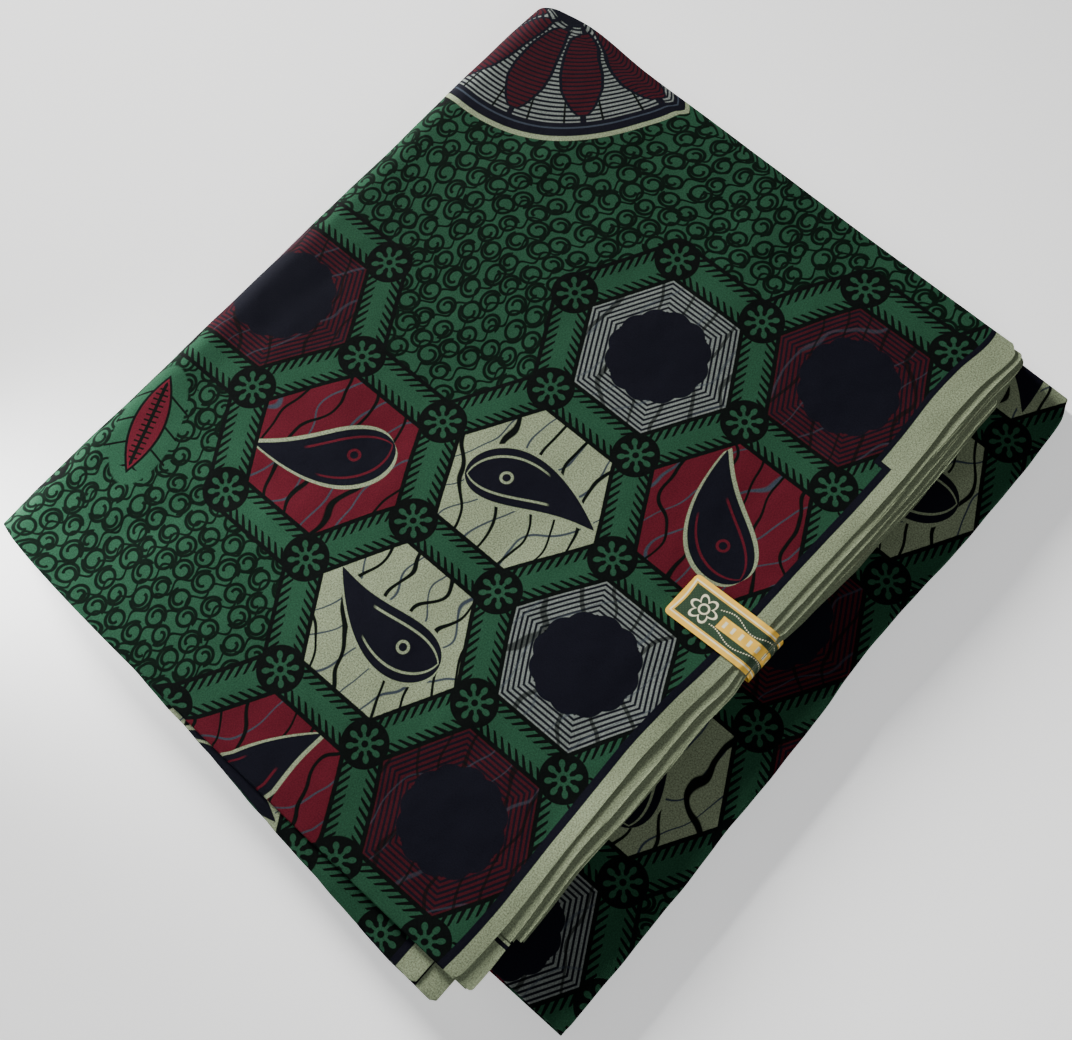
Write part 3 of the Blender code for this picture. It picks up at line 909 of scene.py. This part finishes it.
# Hexagons of the print: height, distance of their columns, half width and a cell's centre
CELL = 84.0
COLUMN = CELL * math.sqrt(3.0) / 2.0
POINT = CELL / math.sqrt(3.0)
FIRST_CELL = (232.0, 30.0)
SIXTH = math.radians(60.0)

# Widths and radii of its shapes, in millimetres
BAND = 9.2
LINE = 1.9
FEATHER_PITCH = 3.9
FLOWER = 10.4
DISC = 21.6
STRIPE_PITCH = 2.1

# Kinds of cells by column and row, with their turn in degrees
COLUMNS = 6
ROWS = 5
CHART = (
    (("dark", 0), ("stripe", 0), ("crimson", 70), ("dark", 0), ("curls", 0)),
    (("sage", 200), ("dark", 0), ("sage", 140), ("crimson", 330), ("stripe", 0)),
    (("stripe", 0), ("sage", 40), ("dark", 0), ("sage", 115), ("sage", 250)),
    (("pod", 20), ("dark", 0), ("curls", 0), ("pod", 8), ("curls", 0)),
    (("curls", 0), ("crimson", 155), ("curls", 0), ("curls", 0), ("curls", 0)),
    (("sage", 110), ("sage", 310), ("stripe", 0), ("curls", 0), ("crimson", 20)),
)

# Whether each kind is red, has a disc or a pod, and is a filled cell
KINDS = {
    "dark": (1.0, 1.0, 1.0),
    "stripe": (0.0, 1.0, 1.0),
    "crimson": (1.0, 0.0, 1.0),
    "sage": (0.0, 0.0, 1.0),
    "pod": (1.0, 1.0, 0.0),
    "curls": (0.0, 0.0, 0.0),
}

# From cloth millimetres to columns and half rows, moved on by whole repeats to stay above zero
CHART_SCALE = (1.0 / COLUMN, 2.0 / CELL, 0.0)
CHART_START = (402.5 - FIRST_CELL[0] / COLUMN, 400.5 - 2.0 * FIRST_CELL[1] / CELL, 0.0)


def chart_at(graph, centre):
    """Chart entry of the cell with a centre: its colour and whether it is filled."""
    cells = [cell for column in CHART for cell in column]
    count = len(cells)
    moved = graph.vector_math("MULTIPLY_ADD", centre, CHART_SCALE, CHART_START)
    moved = graph.vector_math("MODULO", moved, (float(COLUMNS), 2.0 * ROWS, 1.0))
    moved = graph.vector_math("MULTIPLY", moved, (1.0, 0.5, 0.0))
    moved = graph.vector_math("FLOOR", moved)
    step = graph.vector_math("DOT_PRODUCT", moved, (1.0 / COLUMNS, 1.0 / count, 0.0))
    item = graph.node("ShaderNodeValToRGB", {0: Number(graph, step) + 0.5 / count})
    item.color_ramp.interpolation = "CONSTANT"
    stops = item.color_ramp.elements
    for index, (kind, turn) in enumerate(cells):
        if index in (0, count - 1):
            stop = stops[-1 if index else 0]
            stop.position = index / count
        else:
            stop = stops.new(index / count)
        red, disc, filled = KINDS[kind]
        stop.color = (red, turn / 360.0, disc, filled)
    return item.outputs["Color"], Number(graph, item.outputs["Alpha"])


# Ground of loops: lean and distance of its rows, distance of the loops and half widths of the ink
ROW_LEAN = math.radians(68.0)
ROW_PITCH = 9.6
LOOP_PITCH = 11.2
LOOP_LINE = 0.77
JOIN_LINE = 0.62


def draw_loops(graph, u, v):
    """Ink of leaning rows of hooked loops, joined along each row by a wavy line."""
    along = u * math.cos(ROW_LEAN) + v * math.sin(ROW_LEAN)
    across = v * math.cos(ROW_LEAN) - u * math.sin(ROW_LEAN)
    sway = (along / 10.5).sine() * 1.3 + (along / 27.0 + 1.3).sine() * 3.6
    across = (across + sway) / (2.0 * ROW_PITCH)
    ink = 0.0
    # Every other row, then the rows between
    for half in (0.0, 0.5):
        row = (across + half).floor()
        y = (across + (half - 0.5) - row) * (2.0 * ROW_PITCH)
        row = row + half
        step = along / LOOP_PITCH + (row * 4.6).sine() * 0.8
        nearest = (step + 0.5).floor()
        following = nearest + (step - nearest).sign()
        line = (step * (2.0 * math.pi) + row * 3.4).sine() * 1.7 - 3.4
        ink = (y - line).size().below(JOIN_LINE).most(ink)
        for number in (nearest, following):
            chance = graph.node("ShaderNodeTexWhiteNoise", {"Vector": graph.vector(row, number)},
                                noise_dimensions="2D")
            first, second, third = graph.channels(chance.outputs["Color"])
            x = (step - number) * LOOP_PITCH + (first - 0.5) * 4.4
            lifted = (y + (second - 0.5) * 2.4) * 1.08
            turn = (lifted.turn_from(x) / (2.0 * math.pi) + third).part()
            reach = (x * x + lifted * lifted).root() + first * 1.1
            outer = (reach - 5.5 + turn).size()
            hook = (reach - 4.5 + turn * 4.2).size() + (turn - 0.62).most(0.0) * 30.0
            ink = outer.least(hook).below(LOOP_LINE).most(ink)
    return ink


# Sunburst: its centre and the radii of its rings
BURST_CENTRE = (8.0, 358.0)
BURST_CORE = 13.0
BURST_RIM = 69.5
BURST_THREAD = 72.2
BURST_EDGE = 76.5
BURST_END = 79.0
HATCH_PITCH = 2.35


def draw_burst(graph, u, v, cloth):
    """Sunburst at the far end."""
    x = u - BURST_CENTRE[0]
    y = v - BURST_CENTRE[1]
    ring = (x * x + y * y).root()
    spoke = y.turn_from(x) / math.radians(30.0)
    hatch = (ring / HATCH_PITCH).off_middle()
    burst = Picture(graph, graph.paint(hatch.above(0.26, 0.05), HAZE, NAVY))
    burst.add((spoke * 2.0).off_middle().below(0.03, 0.01), BLACK)
    swell = ring.soft(16.0, 44.0).least(ring.soft(66.0, 52.0))
    leaf = swell.root() * 8.6 - spoke.off_middle() * ring * 0.52
    burst.add(leaf.above(-1.4), NAVY)
    burst.add(leaf.above(0.0), graph.paint(hatch.above(0.3, 0.05), DARK_RED, NAVY))
    burst.add(ring.below(BURST_CORE), NAVY)
    burst.add(ring.above(BURST_RIM), NAVY)
    burst.add((ring - BURST_THREAD).size().below(0.45), SLATE)
    burst.add(ring.above(BURST_EDGE), SAGE)
    cloth.add(ring.below(BURST_END), burst.colour)


# Selvedge and its line: where each starts, how much wider it is along one stretch, and from where
BORDERS = table(
    "start wider wide_from colour",
    (265.6, 4.6, 260.6, NAVY),
    (269.0, 5.5, 263.0, SAGE),
)
WIDE_END = 356.0


def draw_print(graph, u, v):
    """Colour of the print, drawn from the cloth's own coordinates in millimetres."""
    place = graph.vector(u, v)

    # Nearest cell of two staggered grids
    first_u = (u - FIRST_CELL[0]).wrap(COLUMN)
    first_v = (v - FIRST_CELL[1]).wrap(CELL / 2)
    second_u = (u - (FIRST_CELL[0] + COLUMN)).wrap(COLUMN)
    second_v = (v - (FIRST_CELL[1] + CELL / 2)).wrap(CELL / 2)
    nearer = (first_u * first_u + first_v * first_v).under(second_u * second_u + second_v * second_v)
    cell_x = graph.pick(nearer, second_u, first_u)
    cell_y = graph.pick(nearer, second_v, first_v)
    cell = graph.vector(cell_x, cell_y)
    centre = graph.vector_math("SUBTRACT", place, cell)

    # Distances to the cell's nearest edge and to the edge beside it
    turn = cell_y.turn_from(cell_x)
    sixth = (turn / SIXTH).rounded() * SIXTH
    reach = graph.length(cell)
    local = turn - sixth
    out = reach * local.cosine() * math.cos(SIXTH / 2)
    out_slant = reach * local.cosine() * math.sin(SIXTH / 2)
    aside = reach * local.sine()
    side = aside.sign()
    aside = aside.size()
    aside_slant = aside * math.cos(SIXTH / 2)
    aside = aside * math.sin(SIXTH / 2)
    edge_near = CELL / 2 - (out + aside)
    edge_other = CELL / 2 - (out - aside)
    along_near = out_slant - aside_slant
    along_other = out_slant + aside_slant

    def neighbour(angle):
        """Whether the cell in a direction is filled."""
        step = graph.vector(angle.cosine(), angle.sine())
        return chart_at(graph, graph.vector_math("MULTIPLY_ADD", step, (CELL, CELL, 0.0), centre))[1]

    near_turn = sixth + side * (SIXTH / 2)
    other_turn = sixth - side * (SIXTH / 2)
    near_filled = neighbour(near_turn)
    other_filled = neighbour(other_turn)
    kind, own = chart_at(graph, centre)
    red, angle, disc = graph.channels(kind)
    near_active = own.most(near_filled)
    other_active = own.most(other_filled)
    any_active = near_active.most(other_filled)
    edge = graph.pick(near_active, graph.pick(other_active, 99.0, edge_other), edge_near)
    # Feathers lean the same way from end to end of a band, on both of its sides
    lean_near = near_turn.sine().sign() * side
    lean_other = other_turn.sine().sign() * side
    along = graph.pick(near_active, along_other * lean_other, -(along_near * lean_near))
    spun = graph.node("ShaderNodeVectorRotate", {"Vector": cell, "Angle": angle * (-2.0 * math.pi)},
                      rotation_type="Z_AXIS")
    spun_x, spun_y = graph.parts(spun.outputs[0])
    across = spun_x.size()

    # Ground of loops, which leaves room for the pods
    pod = disc * (1.0 - own)
    halo = (spun_x * spun_x / 210.0 + spun_y * spun_y / 900.0).soft(1.0, 0.93) * pod
    cloth = Picture(graph, graph.paint(draw_loops(graph, u, v) * (1.0 - halo), GREEN, INK))

    # Pods with their ribs and tendrils
    body = 7.0 - spun_y * spun_y * (7.0 / 530.0) - across
    tendril = ((spun_y + across * 0.55) / 12.5 + 0.1).off_middle().below(0.045, 0.012)
    cloth.add(tendril * across.below(15.0) * spun_y.size().below(22.0) * pod, BLACK)
    cloth.add(body.above(-0.9) * pod, BLACK)
    cloth.add(body.above(0.3) * pod, CRIMSON)
    rib = across.below(0.8).most((spun_y / 2.6).off_middle().below(0.16, 0.04) * across.below(3.1))
    cloth.add(rib * body.above(1.2) * pod, BLACK)

    # Filled cells: veined or pinstriped
    field = graph.paint(red, graph.paint(disc, SAGE, HAZE), graph.paint(disc, CRIMSON, DARK_RED))
    flow = graph.noise(place, 52.0, 1.6)
    first = (cell_x * 0.95 + cell_y * 0.30) / 13.5 + flow * 2.9
    first = first.off_middle().below(0.034 + flow * 0.045, 0.012)
    second = (cell_x * 0.97 - cell_y * 0.24) / 15.5 - flow * 2.6
    second = second.off_middle().below(0.030, 0.012)
    stripe = (edge_near / STRIPE_PITCH).off_middle().above(0.262, 0.06)
    ground = Picture(graph, graph.paint(stripe * disc, field, NAVY))
    ground.add(second * (1.0 - disc * 0.5), SLATE)
    ground.add(first * (1.0 - disc * 0.25), BLACK)
    scallop = (turn * 6.0).sine().size() * 1.5
    ground.add((reach - scallop).below(DISC) * disc, NAVY)

    # Bent drop shape with an inner line
    rise = spun_y.soft(-26.0, 29.0)
    wide = rise.root() * (1.0 - rise).power(0.85) * 33.0
    bend = spun_x + 6.5 - rise * rise * rise * 25.0
    inside = wide - bend.size() - ((spun_y - 1.5).size() - 27.5).most(0.0) * 40.0
    sprig = 1.0 - disc
    ground.add(inside.above(-1.9) * sprig, SAGE)
    ground.add(inside.above(0.0) * sprig, NAVY)
    ground.add((inside - 4.1).size().below(0.55) * spun_y.below(9.0, 1.0) * sprig, field)
    dot = graph.length(graph.vector(spun_x + 5.0, spun_y + 8.5))
    ground.add((dot - 2.4).size().below(0.6) * sprig, field)
    cloth.add(own, ground.colour)

    # Bands along the cells' edges, with feathered borders and a flower where they meet
    cloth.add(edge.below(BAND), BLACK)
    cloth.add(edge.below(BAND - LINE), GREEN)
    feather = ((along + edge) / FEATHER_PITCH).off_middle()
    width = edge.soft(2.2, 6.6) * 0.14 + 0.13
    stroke = (width - feather).soft(-0.03, 0.03) * edge.above(3.2)
    cloth.add(stroke * edge.below(BAND), BLACK)
    corner_x = cell_x - sixth.cosine() * POINT
    corner_y = cell_y - sixth.sine() * POINT
    away = (corner_x * corner_x + corner_y * corner_y).root()
    cloth.add(away.below(FLOWER) * any_active, BLACK)
    petal = corner_y.turn_from(corner_x).wrap(math.pi / 8.0)
    long = away * petal.cosine() - 6.2
    wide = (away * petal.sine()).size()
    bloom = (long * long * 0.5 + wide * wide).root().below(1.25)
    bloom = bloom.most(wide.below(0.62) * (away - 4.0).size().below(2.0))
    bloom = bloom.most((away - 2.2).size().below(0.75))
    cloth.add(bloom * any_active, GREEN)
    draw_burst(graph, u, v, cloth)

    # Plain selvedge with its line
    for row in BORDERS:
        wide = v.above(row.wide_from) * v.below(WIDE_END)
        cloth.add((u - (row.start - wide * row.wider)).soft(-0.12, 0.12), row.colour)

    # Uneven dye
    tint = graph.parts(cloth.colour)[1]
    grain = (graph.noise(place, 0.66, 2.0, 0.7) - 0.5) * (0.9 + tint * 4.6)
    shade = 0.89 + graph.noise(place, 46.0, 3.0, 0.6) * 0.22 + grain
    dyed = graph.node("ShaderNodeVectorMath", {0: cloth.colour, "Scale": shade}, operation="SCALE")
    return dyed.outputs["Vector"]


def add_material(name, settings):
    """New material with constant settings, with its shader and its node tree."""
    material = bpy.data.materials.new(name)
    material.use_nodes = True
    shader = material.node_tree.nodes["Principled BSDF"]
    for key, value in settings.items():
        shader.inputs[key].default_value = value
    return material, shader, Graph(material.node_tree)


def cloth_place(graph):
    """Cloth coordinates in millimetres."""
    return graph.parts(graph.node("ShaderNodeUVMap", uv_map="cloth").outputs[0])


def add_bump(graph, shader, height, strength, distance):
    """Bump on a material's surface."""
    bump = graph.node("ShaderNodeBump", {"Height": height, "Strength": strength, "Distance": distance})
    graph.feed(shader.inputs["Normal"], bump.outputs[0])


COTTON = {"Roughness": 0.8, "Specular IOR Level": 0.02, "Sheen Weight": 0.004, "Sheen Roughness": 0.4}
WARP_PITCH = 0.55
WEFT_PITCH = 0.5


def cloth_material():
    """Printed cotton: print, weave, faint wrinkles and a soft sheen."""
    material, shader, graph = add_material("print_cotton", COTTON)
    u, v = cloth_place(graph)
    graph.feed(shader.inputs["Base Color"], draw_print(graph, u, v))
    weave = (u * (2.0 * math.pi / WARP_PITCH)).sine() * (v * (2.0 * math.pi / WEFT_PITCH)).sine()
    place = graph.vector(u, v)
    height = weave * 0.04 + graph.noise(place, 12.0) * 0.5 + graph.noise(place, 0.9, 1.0, 0.6) * 0.08
    add_bump(graph, shader, height, 0.6, 0.001)
    return material


PAPER = {"Roughness": 0.38, "Specular IOR Level": 0.42, "Coat Weight": 0.12}
GOLD = (1.0, 0.58, 0.064, 1.0)
PALE = (0.92, 0.86, 0.60, 1.0)
LABEL_GREEN = (0.026, 0.056, 0.030, 1.0)
LATTICE_GREEN = (0.12, 0.2, 0.1, 1.0)
LABEL_BORDER = 2.9
ROSETTE_PLACE = 12.2


def label_material():
    """Glossy paper with a gold border and a plain ornament."""
    material, shader, graph = add_material("label_print", PAPER)
    u, v = cloth_place(graph)
    border = u.least(LABEL_WIDTH / 2 - v.size())
    label = Picture(graph, graph.paint(border.above(LABEL_BORDER, 0.1), GOLD, LABEL_GREEN))
    label.add((border - 2.35).size().below(0.34), PALE)
    label.add((border - 3.2).size().below(0.22), GOLD)
    lattice = ((u + v) / 1.6).off_middle() + ((u - v) / 1.6).off_middle()
    label.add(lattice.below(0.22, 0.1) * border.above(3.6) * 0.35, LATTICE_GREEN)

    # Rows of dots along waves
    for start, lift, size in ((0.0, 4.7, 3.1), (2.4, -4.9, 3.6)):
        curve = (u / size + start).sine() * 1.3 + lift
        dots = graph.length(graph.vector((u / 1.1).off_middle() * 1.1, v - curve))
        label.add(dots.below(0.3, 0.1) * border.above(3.6) * u.above(18.0), PALE)

    # Bar with ticks
    bar = u.above(20.5) * (v + 0.1).size().below(3.0)
    label.add(bar, GOLD)
    label.add(bar * (u / 4.2).off_middle().below(0.16, 0.03) * v.size().below(1.5), PALE)

    # Rosette
    x = u - ROSETTE_PLACE
    reach = (x * x + v * v).root()
    petal = (v.turn_from(x) * 3.0).cosine().size()
    label.add((reach - petal * 2.6 - 3.4).size().below(0.55), PALE)
    label.add((reach - 2.1).size().below(0.4), PALE)
    graph.feed(shader.inputs["Base Color"], label.colour)
    add_bump(graph, shader, graph.noise(graph.vector(u, v), 6.0, 2.0), 0.5, 0.0004)
    return material


FLOOR_LOOK = {
    "Base Color": (0.94, 0.94, 0.94, 1.0),
    "Roughness": 0.9,
    "Emission Color": (1.0, 1.0, 1.0, 1.0),
    "Emission Strength": 0.5,
}
FLOOR_REACH = 14.0
FLOOR_DROP = 0.0005


def add_floor():
    """Pale floor under the pack."""
    data = bpy.data.meshes.new("floor")
    corners = [(x * FLOOR_REACH, y * FLOOR_REACH, 0.0) for x, y in ((-1, -1), (1, -1), (1, 1), (-1, 1))]
    data.from_pydata(corners, [], [(0, 1, 2, 3)])
    data.materials.append(add_material("floor", FLOOR_LOOK)[0])
    item = add_object("floor", data)
    item.location.z = -FLOOR_DROP


def add_light(name, place, aim, size, power, colour, beam=180.0):
    """Square soft light that faces a point, with a beam of some degrees."""
    data = bpy.data.lights.new(name, "AREA")
    data.shape = "SQUARE"
    data.size = size
    data.energy = power
    data.color = colour
    data.spread = math.radians(beam)
    item = add_object(name, data)
    item.location = place
    item.rotation_euler = (Vector(aim) - Vector(place)).to_track_quat("-Z", "Y").to_euler()
    item.visible_camera = False


def add_lights():
    """Low daylight from the left, a small light at the near corner and a faint fill."""
    add_light("window", place=(-2.6, 0.52, 0.72), aim=(0.0, 0.01, 0.0), size=0.6, power=9.6,
              colour=(1.0, 0.99, 0.97), beam=28.0)
    add_light("corner", place=(-0.26, -0.24, 0.075), aim=(-0.11, -0.13, 0.018), size=0.08, power=0.29,
              colour=(1.0, 1.0, 1.0), beam=70.0)
    add_light("room", place=(2.2, -1.2, 1.6), aim=(0.0, 0.0, 0.0), size=1.5, power=30.0,
              colour=(0.97, 0.98, 1.0))
    world = bpy.data.worlds.new("studio")
    world.use_nodes = True
    back = world.node_tree.nodes["Background"]
    back.inputs["Color"].default_value = (0.97, 0.98, 1.0, 1.0)
    back.inputs["Strength"].default_value = 0.10
    bpy.context.scene.world = world


# Camera: its axes and place in the frame, from the fit of the photograph's perspective
CAMERA_RIGHT = Vector((0.74012, 0.66974, -0.06060))
CAMERA_DOWN = Vector((0.59757, -0.69634, -0.39751))
CAMERA_FORWARD = Vector((-0.30842, 0.25800, -0.91560))
CAMERA_PLACE = Vector((0.28383, -0.23873, 0.81813))
SENSOR_WIDTH = 36.0
LENS = 69.63


def add_camera():
    """Camera at the photograph's viewing angle."""
    data = bpy.data.cameras.new("camera")
    data.sensor_width = SENSOR_WIDTH
    data.lens = LENS
    item = add_object("camera", data)
    turned = Matrix((CAMERA_RIGHT, -CAMERA_DOWN, -CAMERA_FORWARD)).transposed()
    item.matrix_world = Matrix.Translation(CAMERA_PLACE) @ turned.to_4x4()
    bpy.context.scene.camera = item


# Pieces of cloth: the node that each replaces, its flat size in metres and what it rests on
PIECES = table(
    "name node flat rests_on",
    ("outer_cloth", "outer_sheet", (0.62, 0.362), "hidden_layers"),
    ("inner_cloth", "inner_sheet", (0.335, 0.352), "hidden_layers"),
    ("hidden_layers", "core", (1.65, 0.16), "outer_cloth"),
    ("hidden_selvedges", "core", (0.22, 0.355), "hidden_layers"),
    ("second_cloth", "selvedge_second", (0.10, 0.333), "third_cloth"),
    ("third_cloth", "selvedge_third", (0.11, 0.329), "fourth_cloth"),
    ("fourth_cloth", "selvedge_fourth", (0.11, 0.295), "hidden_selvedges"),
    ("corner_cloth", "corner_layer", (0.11, 0.024), "third_cloth"),
    ("fan_upper_cloth", "fan_upper", (0.21, 0.035), "fan_lower_cloth"),
    ("fan_lower_cloth", "fan_lower", (0.22, 0.035), "hidden_layers"),
)


def main():
    """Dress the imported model."""
    add_camera()
    add_lights()
    add_floor()
    cloth = cloth_material()
    pieces = [build(cloth) for build in (build_outer, build_inner, build_lips, build_selvedges)]
    edged = pieces[3:] + [build_ply(ply, cloth) for ply in PLIES]
    pieces = pieces[:3] + edged + [build_fan(ply, cloth) for ply in FAN_PLIES]
    label = build_label(label_material())
    rows = {row.name: row for row in PIECES}
    for item in pieces:
        row = rows[item.name]
        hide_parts(row.node)
        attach(item, "root")
    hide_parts("label")
    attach(label, "root")


main()
